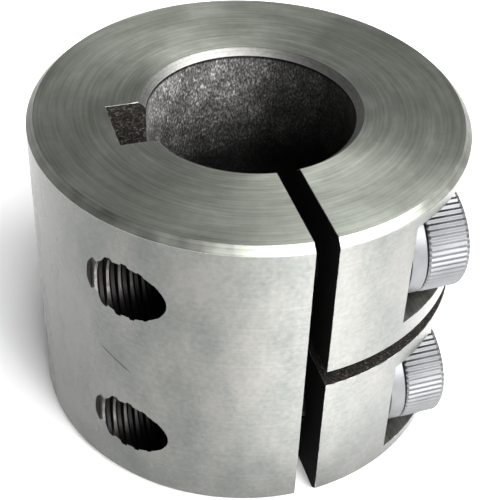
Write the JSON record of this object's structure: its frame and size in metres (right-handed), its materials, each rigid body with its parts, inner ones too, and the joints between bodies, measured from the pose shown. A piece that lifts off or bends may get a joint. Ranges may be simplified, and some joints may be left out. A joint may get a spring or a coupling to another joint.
{
  "type": "rigid sleeve coupling",
  "caption": "One-piece clamping sleeve coupling with a keyed bore, an axial slit, a cross slit and cap screws that close each jaw on a shaft.",
  "frame": {"origin": "centre of the bore at the lower end face, the face it stands on", "axes": "+Z along the bore to the upper end face; the axial slit opens to -Y, the screw heads face +X and the keyway is on the -X side"},
  "size_m": [0.04, 0.04, 0.031],
  "materials": {
    "turned_steel": "bare carbon steel, turned and face-turned, with wire-cut slits and keyway",
    "zinced_steel": "bright zinc-plated steel fasteners"
  },
  "bodies": {
    "sleeve": {"sleeve": "turned_steel"},
    "lower_washer": {"lock_washer_lower": "zinced_steel"},
    "lower_screw": {"clamp_screw_lower": "zinced_steel"},
    "upper_washer": {"lock_washer_upper": "zinced_steel"},
    "upper_screw": {"clamp_screw_upper": "zinced_steel"}
  },
  "joints": [
    {"name": "lower_screw_travel", "type": "slide", "parent": "sleeve", "child": "lower_washer", "axis": [1, 0, 0], "range_m": [0, 0.0075]},
    {"name": "lower_screw_turn", "type": "hinge", "parent": "lower_washer", "child": "lower_screw", "pos_m": [0.0105, -0.0129, 0.00725], "axis": [1, 0, 0], "range_deg": [0, 2700]},
    {"name": "upper_screw_travel", "type": "slide", "parent": "sleeve", "child": "upper_washer", "axis": [1, 0, 0], "range_m": [0, 0.0075]},
    {"name": "upper_screw_turn", "type": "hinge", "parent": "upper_washer", "child": "upper_screw", "pos_m": [0.0105, -0.0129, 0.02375], "axis": [1, 0, 0], "range_deg": [0, 2700]}
  ],
  "couplings": [
    {"joint": "lower_screw_turn", "follows": "lower_screw_travel", "rad_per_m": 6283.2},
    {"joint": "upper_screw_turn", "follows": "upper_screw_travel", "rad_per_m": 6283.2}
  ]
}
